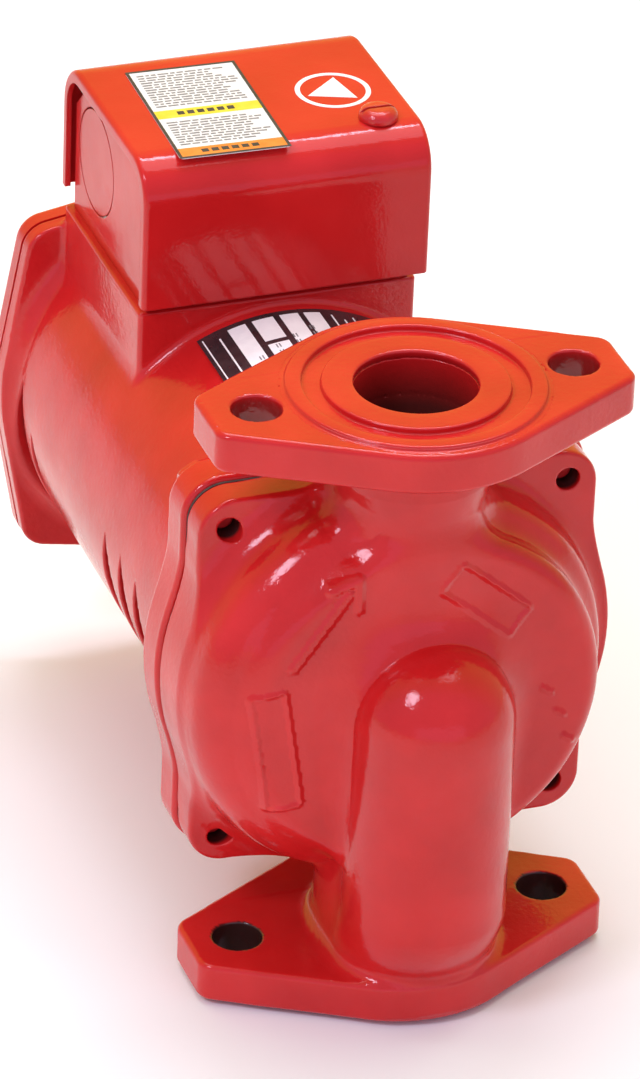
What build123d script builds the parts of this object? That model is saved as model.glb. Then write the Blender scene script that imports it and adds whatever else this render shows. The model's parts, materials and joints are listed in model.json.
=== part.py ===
from build123d import *
import os
from math import cos, radians, sin

# In-line circulator pump with a close-coupled motor. Millimetres.
# Origin: centre of the suction flange's gasket face. +Z runs up the pipe line to the
# discharge flange, +Y runs back along the shaft from the pump to the motor, and +X is to
# the right when the volute is seen from the front.

os.makedirs("parts", exist_ok=True)

# ---------------------------------------------------------------- pipe flanges
FACE_TO_FACE = 161.9
BOLT_SPACING = 80.2
BOLT_HOLE_R = 6.0
FLANGE_T = 11.5
FLANGE_HUB_R = 34.5
FLANGE_TIP_R = 5.0
FLANGE_TIP_X = 48.0
FLANGE_TIP_Y = 7.0
PORT_R = 15.0
GASKET_PAD_R = 31.4
GASKET_PAD_H = 1.0
GROOVE_INNER_R = 22.7
GROOVE_OUTER_R = 27.4
GROOVE_DEPTH = 1.6
SHAFT_Z = FACE_TO_FACE / 2

# ---------------------------------------------------------------- casing
VOLUTE_FRONT_Y = -17.0
EAR_FRONT_Y = 6.6
CASING_BACK_Y = 16.0
CASING_R = 57.0
CASING_HALF = 51.5
EAR_CORNER_R = 10.0
EAR_HOLE = 43.4
FACE_DISC_R = 46.0
FACE_EDGE_R = 5.0
SCROLL_SHIFT_X = -2.5
SCROLL_SHIFT_Z = -1.0
SCROLL_ROOT_R = CASING_R - 2.2
SCROLL_NOSE_R = CASING_R - 6.0
SCROLL_EDGE_R = 9.0
SCROLL_NOSE = Plane(origin=(-4, -10.5, SHAFT_Z), x_dir=(1, 0.115, 0), z_dir=(0.115, -1, 0))
CHAMBER_FRONT_Y = -8.0
CHAMBER_WIDE_Y = 3.0
CHAMBER_FRONT_R = 37.0
CHAMBER_R = 46.0
REGISTER_R = 48.0
REGISTER_DEPTH = 3.4
NECK_R = 19.5
NECK_FOOT_R = 15.5
NECK_TOP_Z = SHAFT_Z + 58.5
NECK_FOOT_Z = SHAFT_Z + 36.0
DISCHARGE_BORE_LENGTH = 12.0
DISCHARGE_THROAT_R = 12.0
DISCHARGE_THROAT_Z = SHAFT_Z + 50.0
SUCTION_BORE_LENGTH = 8.0
ELBOW_Y = -22.0
ELBOW_R = 19.9
ELBOW_BORE_R = 14.0
ELBOW_FOOT_Y = -12.5
ELBOW_KNEE_Z = 27.0
ELBOW_HOOD_R = 25.5
EYE_R = 13.5
EYE_RING_R = 16.8
EYE_RING_LENGTH = 4.0

# ---------------------------------------------------------------- joint to the motor
GASKET_T = 0.8
GASKET_INSET = 0.8
BRACKET_Y = CASING_BACK_Y + GASKET_T
BRACKET_T = 11.0
BRACKET_BACK_Y = BRACKET_Y + BRACKET_T
SPIGOT_Y = CASING_BACK_Y - REGISTER_DEPTH + 0.6
BODY_SCREW_R = 2.9
BODY_SCREW_CLEARANCE_R = 3.4
BODY_SCREW_HEX = 10.0
BODY_SCREW_HEAD_H = 4.2
BODY_SCREW_TIP_Y = 11.2

# ---------------------------------------------------------------- motor
MOTOR_R = 50.2
MOTOR_WALL = 4.2
MOTOR_BACK_Y = 156.0
REAR_FLANGE_T = 5.0
REAR_COVER_Y = MOTOR_BACK_Y + REAR_FLANGE_T + 0.3
REAR_COVER_T = 6.5
REAR_R = 53.5
REAR_EAR = 39.6
REAR_EAR_R = 7.5
REAR_SCREW_R = 2.2
REAR_SCREW_TIP_Y = 158.0
REAR_SCREW_HEX = 8.0
REAR_SCREW_HEAD_H = 3.6
BOSS_R = 20.0
FRONT_SLOTS_Y = (55.4, 67.4, 79.6)
REAR_SLOT_SMALL_Y = 141.0
REAR_SLOT_LARGE_Y = 150.0
FRONT_SLOT_HALF_LENGTH = 22.0
FRONT_SLOT_HALF_WIDTH = 3.8
SMALL_SLOT_HALF_LENGTH = 17.0
SMALL_SLOT_HALF_WIDTH = 3.1
LARGE_SLOT_HALF_LENGTH = 27.0
LARGE_SLOT_HALF_WIDTH = 4.3
SLOT_ANGLE = -25.0
SLOT_DEPTH = 16.0
NAMEPLATE_FRONT_Y = 52.0
NAMEPLATE_BACK_Y = 93.0
NAMEPLATE_LEFT = 116.5
NAMEPLATE_RIGHT = 55.0

# ---------------------------------------------------------------- impeller, shaft and seal
STUB_R = 4.0
SHAFT_R = 6.0
ROTOR_SHAFT_R = 7.5
SHAFT_STEP_Y = 6.5
IMPELLER_R = 33.0
IMPELLER_EYE_R = 14.0
IMPELLER_HUB_R = 8.0
IMPELLER_HUB_Y = -4.5
IMPELLER_NUT_H = 4.0
IMPELLER_NUT_HEX = 13.0
FRONT_SHROUD_Y = -6.5
BACK_SHROUD_Y = 3.5
SHROUD_T = 1.8
VANE_COUNT = 6
VANE_T = 1.8
SPRING_R = 9.0
SPRING_WIRE_R = 0.6
SPRING_LENGTH = 3.2
SPRING_PITCH = 1.6
SEAL_HEAD_Y = 11.0
SEAL_HEAD_R = 10.5
SEAT_FACE_Y = 16.4
SEAT_BACK_Y = 21.0
SEAT_R = 11.5
SEAL_BORE_R = 13.0
SLINGER_Y = 29.0
SLINGER_R = 11.0

# ---------------------------------------------------------------- bearings
BEARING_OUTER_R = 16.0
BEARING_W = 10.0
BALL_R = 2.9
BALL_CLEARANCE = 0.12
BALL_PITCH_R = 11.0
BALL_COUNT = 8
SHIELD_T = 0.6
FRONT_BEARING_Y = 44.0
REAR_BEARING_Y = 143.0

# ---------------------------------------------------------------- rotor and stator
ROTOR_R = 24.0
ROTOR_FRONT_Y = 72.0
ROTOR_BACK_Y = 118.0
END_RING_T = 5.0
FAN_BLADES = 9
FAN_BLADE_H = 6.0
STATOR_FRONT_Y = 70.0
STATOR_BACK_Y = 120.0
STATOR_BORE_R = 24.6
SLOT_COUNT = 18
SLOT_PITCH_R = 34.0
SLOT_R = 3.6
SLOT_MOUTH = 2.0
END_TURN_LENGTH = 11.0

# ---------------------------------------------------------------- pedestal and conduit box
PEDESTAL_HALF_X = 36.8
PEDESTAL_FRONT_Y = 96.5
PEDESTAL_BACK_Y = 157.7
PEDESTAL_ROOT = 30.0
PEDESTAL_TOP_Z = 134.0
SHEET_T = 1.5
BOX_HALF_X = 34.6
BOX_FRONT_Y = 97.5
BOX_BACK_Y = 155.8
BOX_FLOOR_Z = PEDESTAL_TOP_Z + SHEET_T
BOX_TOP_Z = 171.5
BOX_CORNER = 8.0
KNOCKOUT_Y = 139.0
KNOCKOUT_Z = 155.0
KNOCKOUT_R = 14.1
KNOCKOUT_GAP = 0.45
BOX_SCREWS_X = (-24.0, 24.0)
BOX_SCREW_Y = 148.0
BOX_SCREW_R = 2.0
COVER_LEFT_X = -36.6
COVER_RIGHT_X = 39.0
COVER_FRONT_Y = 94.5
COVER_BACK_Y = 161.0
COVER_TOP_Z = 175.0
COVER_FRONT_BOTTOM_Z = 136.0
COVER_BACK_BOTTOM_Z = 139.0
COVER_FRONT_BEND_R = 11.0
COVER_BACK_BEND_R = 12.0
COVER_LIP = 3.2
COVER_EDGE_R = 1.4
COVER_SCREW_X = 28.5
COVER_SCREW_Y = 107.0
COVER_SCREW_R = 2.0
COVER_SCREW_TIP_Z = 158.0
SCREW_HEAD_R = 5.0
SCREW_HEAD_H = 3.0
POST_R = 4.0
POST_TOP_Z = COVER_TOP_Z - SHEET_T - 0.3
POST_THREAD = 18.0
LABEL_X = -11.3
LABEL_Y = 122.3
LABEL_W = 28.8
LABEL_L = 48.0
LABEL_T = 0.2
LABEL_TURN = -1.5

# ---------------------------------------------------------------- wiring
CAPACITOR_R = 14.0
CAPACITOR_LEFT_X = -30.0
CAPACITOR_LENGTH = 46.0
CAPACITOR_RIGHT_X = CAPACITOR_LEFT_X + CAPACITOR_LENGTH
CAPACITOR_Y = 114.0
CAPACITOR_Z = BOX_FLOOR_Z + CAPACITOR_R
STRAP_X = -14.0
STRAP_W = 8.0
STRAP_T = 1.0
TERMINAL_X = -6.0
TERMINAL_Y = 131.0
TERMINAL_L = 30.0
TERMINAL_W = 12.0
TERMINAL_H = 10.0
TERMINAL_WAYS = 3
GROUND_X = 29.0
GROUND_Y = 124.0
LEAD_HOLE_X = -18.0
LEAD_HOLE_Y = 137.0
LEAD_HOLE_R = 6.0
LEAD_R = 1.1
LEAD_BEND_R = 4.0
LEAD_FOOT_Z = 122.0
LEAD_TOP_Z = BOX_FLOOR_Z + 5.5

SHAFT_AXIS = Axis((0, 0, SHAFT_Z), (0, 1, 0))
LENGTHWISE = Plane(origin=(0, 0, SHAFT_Z), x_dir=(0, 1, 0), z_dir=(1, 0, 0))


# ---------------------------------------------------------------- helpers

def across(y, x=0.0, z=0.0):
    """Plane square to the shaft at station y: local x is +X and local y is +Z."""
    return Plane(origin=(x, y, SHAFT_Z + z), x_dir=(1, 0, 0), z_dir=(0, -1, 0))


def disc(front_y, back_y, radius, mode=Mode.ADD, x=0.0, z=0.0):
    """Round disc between two stations along the shaft."""
    with BuildSketch(across(front_y, x, z)) as outline:
        Circle(radius)
    extrude(outline.sketch, amount=front_y - back_y, mode=mode)


def ring(front_y, back_y, outer_r, inner_r):
    """Round ring between two stations along the shaft."""
    with BuildSketch(across(front_y)) as outline:
        Circle(outer_r)
        Circle(inner_r, mode=Mode.SUBTRACT)
    extrude(outline.sketch, amount=front_y - back_y)


def post(low_z, high_z, radius, x=0.0, y=0.0, mode=Mode.ADD):
    """Upright round bar between two heights."""
    with BuildSketch(Plane.XY.offset(low_z)) as outline:
        with Locations((x, y)):
            Circle(radius)
    extrude(outline.sketch, amount=high_z - low_z, mode=mode)


def block(low, high, mode=Mode.ADD):
    """Rectangular block between two opposite corners."""
    centre = [(a + b) / 2 for a, b in zip(low, high)]
    size = [b - a for a, b in zip(low, high)]
    with Locations(tuple(centre)):
        Box(*size, mode=mode)


def four_corners(half):
    """The four corners of a square about the shaft."""
    return [(sx * half, sz * half) for sx in (-1, 1) for sz in (-1, 1)]


def holes_along_shaft(front_y, back_y, radius, places):
    """Round holes along the shaft direction."""
    with BuildSketch(across(front_y)) as outline:
        with Locations(*places):
            Circle(radius)
    extrude(outline.sketch, amount=front_y - back_y, mode=Mode.SUBTRACT)


def casing_outline(inset=0.0):
    """Round casing with four square-set ears."""
    Circle(CASING_R - inset)
    side = 2 * (CASING_HALF - inset)
    RectangleRounded(side, side, EAR_CORNER_R - inset)


def flange_outline():
    """Two-bolt pipe flange: a round hub drawn out to two blunt tips."""
    with BuildSketch(mode=Mode.PRIVATE) as circles:
        Circle(FLANGE_HUB_R)
        with GridLocations(2 * FLANGE_TIP_X, 2 * FLANGE_TIP_Y, 2, 2):
            Circle(FLANGE_TIP_R)
    make_hull(circles.sketch.edges())


def rear_outline():
    """Round motor end with four screw ears."""
    with BuildSketch(mode=Mode.PRIVATE) as circles:
        Circle(REAR_R)
        with Locations(*four_corners(REAR_EAR)):
            Circle(REAR_EAR_R)
    make_hull(circles.sketch.edges())


def hex_head(front_y, back_y, across_flats, places):
    """Hexagon heads with their flats across the given size."""
    with BuildSketch(across(front_y)) as outline:
        with Locations(*places):
            RegularPolygon(across_flats / 2, 6, major_radius=False)
    extrude(outline.sketch, amount=front_y - back_y)


def save(builder, name):
    """Label a finished piece and write it."""
    builder.part.label = name
    export_step(builder.part, f"parts/{name}.step")


# ---------------------------------------------------------------- pump body

def pipe_flange(face_z, inward):
    """Flange whose gasket face lies at face_z; inward is +1 or -1 towards the casing."""
    with BuildSketch(Plane.XY.offset(face_z + inward * GASKET_PAD_H)) as plate:
        flange_outline()
    extrude(plate.sketch, amount=inward * (FLANGE_T - GASKET_PAD_H))
    with BuildSketch(Plane.XY.offset(face_z)) as pad:
        Circle(GASKET_PAD_R)
    extrude(pad.sketch, amount=inward * GASKET_PAD_H)


def flange_openings(face_z, inward, bore_length):
    """Bolt holes, gasket groove and straight port bore of one flange."""
    with BuildSketch(Plane.XY.offset(face_z)) as bolts:
        with GridLocations(BOLT_SPACING, 0, 2, 1):
            Circle(BOLT_HOLE_R)
    extrude(bolts.sketch, amount=inward * FLANGE_T, mode=Mode.SUBTRACT)
    with BuildSketch(Plane.XY.offset(face_z)) as groove:
        Circle(GROOVE_OUTER_R)
        Circle(GROOVE_INNER_R, mode=Mode.SUBTRACT)
    extrude(groove.sketch, amount=inward * GROOVE_DEPTH, mode=Mode.SUBTRACT)
    with BuildSketch(Plane.XY.offset(face_z)) as port:
        Circle(PORT_R)
    extrude(port.sketch, amount=inward * bore_length, mode=Mode.SUBTRACT)


def tube_through(stations, mode=Mode.ADD):
    """Tube through level circles, each given as (z, y, radius)."""
    faces = []
    for z, y, radius in stations:
        with BuildSketch(Plane.XY.offset(z), mode=Mode.PRIVATE) as level:
            with Locations((0, y)):
                Circle(radius)
        faces.append(level.sketch)
    loft(faces, ruled=True, mode=mode)


def ball(y, radius, mode=Mode.ADD):
    """Ball centred on the elbow's bend."""
    with Locations((0, y, SHAFT_Z)):
        Sphere(radius, mode=mode)


with BuildPart() as front_disc:
    disc(VOLUTE_FRONT_Y, EAR_FRONT_Y, FACE_DISC_R)
    fillet(front_disc.faces().sort_by(Axis.Y)[0].edges(), FACE_EDGE_R)

with BuildPart() as scroll:
    with BuildSketch(across(EAR_FRONT_Y, SCROLL_SHIFT_X, SCROLL_SHIFT_Z)) as scroll_root:
        Circle(SCROLL_ROOT_R)
    with BuildSketch(SCROLL_NOSE) as scroll_nose:
        Circle(SCROLL_NOSE_R)
    loft([scroll_root.sketch, scroll_nose.sketch], ruled=True)
    fillet(scroll.faces().sort_by(Axis.Y)[0].edges(), SCROLL_EDGE_R)

with BuildPart() as pump_body:
    add(front_disc.part)
    add(scroll.part)
    with BuildSketch(across(EAR_FRONT_Y)) as ears:
        casing_outline()
    extrude(ears.sketch, amount=EAR_FRONT_Y - CASING_BACK_Y)
    # necks on the pipe line, above and below the volute
    post(NECK_TOP_Z, FACE_TO_FACE - FLANGE_T, NECK_R)
    tube_through([(NECK_FOOT_Z, 0, NECK_FOOT_R), (NECK_TOP_Z, 0, NECK_R)])
    post(FLANGE_T, SHAFT_Z - CASING_HALF, NECK_R)
    block((-CASING_HALF, CASING_BACK_Y, FLANGE_T + 6), (CASING_HALF, CASING_BACK_Y + 10, NECK_TOP_Z),
          mode=Mode.SUBTRACT)
    # suction elbow in front of the volute
    tube_through([(FLANGE_T, ELBOW_FOOT_Y, ELBOW_R), (ELBOW_KNEE_Z, ELBOW_Y, ELBOW_R)])
    post(ELBOW_KNEE_Z, SHAFT_Z, ELBOW_R, y=ELBOW_Y)
    ball(ELBOW_Y, ELBOW_R)
    with BuildSketch(across(ELBOW_Y)) as hood_front:
        Circle(ELBOW_R)
    with BuildSketch(across(VOLUTE_FRONT_Y + 1)) as hood_back:
        Circle(ELBOW_HOOD_R)
    loft([hood_front.sketch, hood_back.sketch], ruled=True)
    pipe_flange(0, 1)
    pipe_flange(FACE_TO_FACE, -1)
    # water ways
    flange_openings(0, 1, SUCTION_BORE_LENGTH)
    flange_openings(FACE_TO_FACE, -1, DISCHARGE_BORE_LENGTH)
    tube_through([(SUCTION_BORE_LENGTH, 0, PORT_R - 0.5), (ELBOW_KNEE_Z, ELBOW_Y, ELBOW_BORE_R)],
                 mode=Mode.SUBTRACT)
    post(ELBOW_KNEE_Z, SHAFT_Z, ELBOW_BORE_R, y=ELBOW_Y, mode=Mode.SUBTRACT)
    ball(ELBOW_Y, ELBOW_BORE_R, mode=Mode.SUBTRACT)
    disc(ELBOW_Y, CHAMBER_FRONT_Y, EYE_R, mode=Mode.SUBTRACT)
    disc(CHAMBER_FRONT_Y - EYE_RING_LENGTH, CHAMBER_FRONT_Y, EYE_RING_R + 0.4, mode=Mode.SUBTRACT)
    tube_through([(DISCHARGE_THROAT_Z, 0, DISCHARGE_THROAT_R),
                  (FACE_TO_FACE - DISCHARGE_BORE_LENGTH, 0, PORT_R - 0.5)], mode=Mode.SUBTRACT)
    post(SHAFT_Z, DISCHARGE_THROAT_Z, DISCHARGE_THROAT_R, mode=Mode.SUBTRACT)
    # impeller chamber, wider behind, and the register for the motor's spigot
    with BuildSketch(across(CHAMBER_FRONT_Y)) as chamber_front:
        Circle(CHAMBER_FRONT_R)
    with BuildSketch(across(CHAMBER_WIDE_Y)) as chamber_wide:
        Circle(CHAMBER_R)
    loft([chamber_front.sketch, chamber_wide.sketch], ruled=True, mode=Mode.SUBTRACT)
    disc(CHAMBER_WIDE_Y, CASING_BACK_Y, CHAMBER_R, mode=Mode.SUBTRACT)
    disc(CASING_BACK_Y - REGISTER_DEPTH, CASING_BACK_Y, REGISTER_R, mode=Mode.SUBTRACT)
    holes_along_shaft(EAR_FRONT_Y - 1, CASING_BACK_Y, BODY_SCREW_R, four_corners(EAR_HOLE))
save(pump_body, "pump_body")

with BuildPart() as body_gasket:
    with BuildSketch(across(CASING_BACK_Y)) as outline:
        casing_outline(GASKET_INSET)
        Circle(REGISTER_R, mode=Mode.SUBTRACT)
    extrude(outline.sketch, amount=-GASKET_T)
    holes_along_shaft(CASING_BACK_Y, BRACKET_Y, BODY_SCREW_CLEARANCE_R, four_corners(EAR_HOLE))
save(body_gasket, "body_gasket")

with BuildPart() as body_screws:
    screw_places = four_corners(EAR_HOLE)
    hex_head(BRACKET_BACK_Y, BRACKET_BACK_Y + BODY_SCREW_HEAD_H, BODY_SCREW_HEX, screw_places)
    with BuildSketch(across(BODY_SCREW_TIP_Y)) as shanks:
        with Locations(*screw_places):
            Circle(BODY_SCREW_R - 0.1)
    extrude(shanks.sketch, amount=BODY_SCREW_TIP_Y - BRACKET_BACK_Y)
save(body_screws, "body_screws")

# ---------------------------------------------------------------- impeller and seal

with BuildPart() as impeller:
    ring(FRONT_SHROUD_Y, FRONT_SHROUD_Y + SHROUD_T, IMPELLER_R, IMPELLER_EYE_R)
    ring(CHAMBER_FRONT_Y - EYE_RING_LENGTH + 0.5, FRONT_SHROUD_Y, EYE_RING_R, IMPELLER_EYE_R)
    ring(BACK_SHROUD_Y, BACK_SHROUD_Y + SHROUD_T, IMPELLER_R, STUB_R)
    ring(IMPELLER_HUB_Y, SHAFT_STEP_Y, IMPELLER_HUB_R, STUB_R)
    with BuildSketch(across(FRONT_SHROUD_Y + SHROUD_T)) as vanes:
        with PolarLocations(0, VANE_COUNT):
            with BuildLine():
                vane_root = (IMPELLER_HUB_R + 2.5, 0)
                vane_mid = (20.0, -9.0)
                vane_tip = (20.0, -25.6)
                inner = ThreePointArc(vane_root, vane_mid, vane_tip)
                offset(inner, amount=VANE_T, side=Side.RIGHT, closed=True)
            make_face()
    extrude(vanes.sketch, amount=-(BACK_SHROUD_Y - FRONT_SHROUD_Y - SHROUD_T))
save(impeller, "impeller")

with BuildPart() as impeller_nut:
    hex_head(IMPELLER_HUB_Y - IMPELLER_NUT_H, IMPELLER_HUB_Y, IMPELLER_NUT_HEX, [(0, 0)])
    disc(IMPELLER_HUB_Y - IMPELLER_NUT_H, IMPELLER_HUB_Y, STUB_R, mode=Mode.SUBTRACT)
save(impeller_nut, "impeller_nut")

with BuildPart() as seal_spring:
    with BuildLine() as coil_line:
        coil = Helix(SPRING_PITCH, SPRING_LENGTH, SPRING_R,
                     center=(0, SHAFT_STEP_Y + SPRING_WIRE_R, SHAFT_Z), direction=(0, 1, 0))
    with BuildSketch(Plane(origin=coil @ 0, z_dir=coil % 0)) as wire:
        Circle(SPRING_WIRE_R)
    sweep(wire.sketch, path=coil_line.line, is_frenet=True)
save(seal_spring, "seal_spring")

with BuildPart() as seal_head:
    ring(SEAL_HEAD_Y, SEAT_FACE_Y, SEAL_HEAD_R, SHAFT_R)
    ring(SEAL_HEAD_Y, SEAL_HEAD_Y + 2, SEAL_HEAD_R + 0.9, SHAFT_R)
save(seal_head, "seal_head")

with BuildPart() as seal_seat:
    ring(SEAT_FACE_Y, SEAT_BACK_Y, SEAT_R, SHAFT_R + 0.8)
save(seal_seat, "seal_seat")

with BuildPart() as seal_seat_cup:
    ring(SEAT_FACE_Y + 0.8, SEAT_BACK_Y, SEAL_BORE_R, SEAT_R)
    ring(SEAT_BACK_Y, SEAT_BACK_Y + 1, SEAL_BORE_R, SHAFT_R + 3)
save(seal_seat_cup, "seal_seat_cup")

# ---------------------------------------------------------------- shaft, rotor and bearings

with BuildPart() as shaft:
    disc(IMPELLER_HUB_Y - IMPELLER_NUT_H - 1, SHAFT_STEP_Y, STUB_R)
    disc(SHAFT_STEP_Y, REAR_BEARING_Y + BEARING_W + 1, SHAFT_R)
    disc(FRONT_BEARING_Y + BEARING_W, REAR_BEARING_Y, ROTOR_SHAFT_R)
    chamfer(shaft.edges().sort_by(Axis.Y)[0], 0.6)
    chamfer(shaft.edges().sort_by(Axis.Y)[-1], 0.6)
save(shaft, "shaft")

with BuildPart() as water_slinger:
    ring(SLINGER_Y, SLINGER_Y + 2, SLINGER_R, SHAFT_R)
    ring(SLINGER_Y, SLINGER_Y + 5, SHAFT_R + 2.5, SHAFT_R)
save(water_slinger, "water_slinger")


def bearing(front_y, name):
    """Shielded ball bearing as outer ring, inner ring and set of balls."""
    middle_y = front_y + BEARING_W / 2
    with BuildPart() as outer:
        ring(front_y, front_y + BEARING_W, BEARING_OUTER_R, BALL_PITCH_R + 1.8)
        ring(front_y, front_y + SHIELD_T, BALL_PITCH_R + 1.8, BALL_PITCH_R - 1.2)
        ring(front_y + BEARING_W - SHIELD_T, front_y + BEARING_W, BALL_PITCH_R + 1.8, BALL_PITCH_R - 1.2)
        ball_track(middle_y)
    save(outer, name + "_outer_ring")
    with BuildPart() as inner:
        ring(front_y, front_y + BEARING_W, BALL_PITCH_R - 1.8, SHAFT_R)
        ball_track(middle_y)
    save(inner, name + "_inner_ring")
    with BuildPart() as balls:
        with Locations(across(middle_y)):
            with PolarLocations(BALL_PITCH_R, BALL_COUNT):
                Sphere(BALL_R)
    save(balls, name + "_balls")


def ball_track(middle_y):
    """Rounded track that the balls run in."""
    with BuildSketch(Plane(origin=(0, middle_y, SHAFT_Z), x_dir=(0, 1, 0), z_dir=(1, 0, 0))) as track:
        with Locations((0, BALL_PITCH_R)):
            Circle(BALL_R + BALL_CLEARANCE)
    revolve(track.sketch, axis=SHAFT_AXIS, mode=Mode.SUBTRACT)


bearing(FRONT_BEARING_Y, "front_bearing")
bearing(REAR_BEARING_Y, "rear_bearing")

with BuildPart() as wave_washer:
    ring(REAR_BEARING_Y + BEARING_W, REAR_BEARING_Y + BEARING_W + 0.6, BEARING_OUTER_R - 0.6, 11.0)
save(wave_washer, "wave_washer")

with BuildPart() as rotor_core:
    ring(ROTOR_FRONT_Y, ROTOR_BACK_Y, ROTOR_R, ROTOR_SHAFT_R)
save(rotor_core, "rotor_core")

with BuildPart() as rotor_end_rings:
    ring(ROTOR_FRONT_Y - END_RING_T, ROTOR_FRONT_Y, ROTOR_R - 0.6, ROTOR_R - 9)
    ring(ROTOR_BACK_Y, ROTOR_BACK_Y + END_RING_T, ROTOR_R - 0.6, ROTOR_R - 9)
    with BuildSketch(across(ROTOR_BACK_Y + END_RING_T)) as blades:
        with PolarLocations(ROTOR_R - 5, FAN_BLADES):
            Rectangle(7, 1.6)
    extrude(blades.sketch, amount=-FAN_BLADE_H)
save(rotor_end_rings, "rotor_end_rings")

# ---------------------------------------------------------------- stator

with BuildPart() as stator_core:
    with BuildSketch(across(STATOR_FRONT_Y)) as lamination:
        Circle(MOTOR_R - MOTOR_WALL)
        Circle(STATOR_BORE_R, mode=Mode.SUBTRACT)
        with PolarLocations(SLOT_PITCH_R, SLOT_COUNT):
            Circle(SLOT_R, mode=Mode.SUBTRACT)
        with PolarLocations(STATOR_BORE_R + 3, SLOT_COUNT):
            Rectangle(8, SLOT_MOUTH, mode=Mode.SUBTRACT)
    extrude(lamination.sketch, amount=STATOR_FRONT_Y - STATOR_BACK_Y)
save(stator_core, "stator_core")


def end_turns(y):
    """One bundle of end turns, as a round-edged ring."""
    with BuildSketch(LENGTHWISE) as bundle:
        with Locations((y, SLOT_PITCH_R)):
            RectangleRounded(END_TURN_LENGTH, 2 * SLOT_R + 6, 3.4)
    revolve(bundle.sketch, axis=SHAFT_AXIS)


with BuildPart() as windings:
    end_turns(STATOR_FRONT_Y - END_TURN_LENGTH / 2)
    end_turns(STATOR_BACK_Y + END_TURN_LENGTH / 2)
    with BuildSketch(across(STATOR_FRONT_Y - 1)) as bars:
        with PolarLocations(SLOT_PITCH_R, SLOT_COUNT):
            Circle(SLOT_R - 0.15)
    extrude(bars.sketch, amount=STATOR_FRONT_Y - STATOR_BACK_Y - 2)
save(windings, "windings")

# ---------------------------------------------------------------- motor housing

def radial_slot(y, angle, half_length, half_width):
    """Pointed cooling slot through the motor wall, its long axis round the motor."""
    outward = (cos(radians(angle)), 0, sin(radians(angle)))
    reach = MOTOR_R + 3
    centre = (outward[0] * reach, y, SHAFT_Z + outward[2] * reach)
    with BuildSketch(Plane(origin=centre, x_dir=(0, 1, 0), z_dir=outward)) as opening:
        Ellipse(half_width, half_length)
    extrude(opening.sketch, amount=-SLOT_DEPTH, mode=Mode.SUBTRACT)


with BuildPart() as motor_housing:
    # front bracket with ears and spigot
    with BuildSketch(across(BRACKET_Y)) as bracket:
        casing_outline(-0.5)
    extrude(bracket.sketch, amount=-BRACKET_T)
    fillet(motor_housing.faces().sort_by(Axis.Y)[-1].edges(), 2.5)
    disc(SPIGOT_Y, BRACKET_Y, REGISTER_R - 0.2)
    disc(BRACKET_BACK_Y, MOTOR_BACK_Y, MOTOR_R)
    with BuildSketch(across(MOTOR_BACK_Y)) as rear_flange:
        rear_outline()
    extrude(rear_flange.sketch, amount=-REAR_FLANGE_T)
    # pedestal for the conduit box
    with BuildSketch(Plane.XY.offset(SHAFT_Z + PEDESTAL_ROOT)) as foot:
        with Locations((0, (PEDESTAL_FRONT_Y + PEDESTAL_BACK_Y) / 2)):
            RectangleRounded(2 * PEDESTAL_HALF_X, PEDESTAL_BACK_Y - PEDESTAL_FRONT_Y, 2.0)
    extrude(foot.sketch, amount=PEDESTAL_TOP_Z - SHAFT_Z - PEDESTAL_ROOT)
    # inside
    disc(BRACKET_BACK_Y + 2, MOTOR_BACK_Y + REAR_FLANGE_T, MOTOR_R - MOTOR_WALL, mode=Mode.SUBTRACT)
    disc(BRACKET_BACK_Y, FRONT_BEARING_Y + BEARING_W, BOSS_R)
    disc(FRONT_BEARING_Y, FRONT_BEARING_Y + BEARING_W, BEARING_OUTER_R, mode=Mode.SUBTRACT)
    disc(SEAT_BACK_Y + 4, FRONT_BEARING_Y, SLINGER_R + 2, mode=Mode.SUBTRACT)
    disc(SPIGOT_Y, SEAT_BACK_Y + 1, SEAL_BORE_R, mode=Mode.SUBTRACT)
    disc(SEAT_BACK_Y, SEAT_BACK_Y + 5, SHAFT_R + 2, mode=Mode.SUBTRACT)
    for slot_y in FRONT_SLOTS_Y:
        for slot_angle in (SLOT_ANGLE, 180 - SLOT_ANGLE):
            radial_slot(slot_y, slot_angle, FRONT_SLOT_HALF_LENGTH, FRONT_SLOT_HALF_WIDTH)
    for slot_angle in (SLOT_ANGLE, 180 - SLOT_ANGLE):
        radial_slot(REAR_SLOT_SMALL_Y, slot_angle, SMALL_SLOT_HALF_LENGTH, SMALL_SLOT_HALF_WIDTH)
        radial_slot(REAR_SLOT_LARGE_Y, slot_angle, LARGE_SLOT_HALF_LENGTH, LARGE_SLOT_HALF_WIDTH)
    holes_along_shaft(BRACKET_Y, BRACKET_BACK_Y, BODY_SCREW_CLEARANCE_R, four_corners(EAR_HOLE))
    holes_along_shaft(REAR_SCREW_TIP_Y - 0.3, MOTOR_BACK_Y + REAR_FLANGE_T, REAR_SCREW_R,
                      four_corners(REAR_EAR))
    post(SHAFT_Z + 30, PEDESTAL_TOP_Z, LEAD_HOLE_R, LEAD_HOLE_X, LEAD_HOLE_Y, mode=Mode.SUBTRACT)
    for screw_x in BOX_SCREWS_X:
        post(PEDESTAL_TOP_Z - 8, PEDESTAL_TOP_Z, BOX_SCREW_R, screw_x, BOX_SCREW_Y, mode=Mode.SUBTRACT)
save(motor_housing, "motor_housing")

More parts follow.
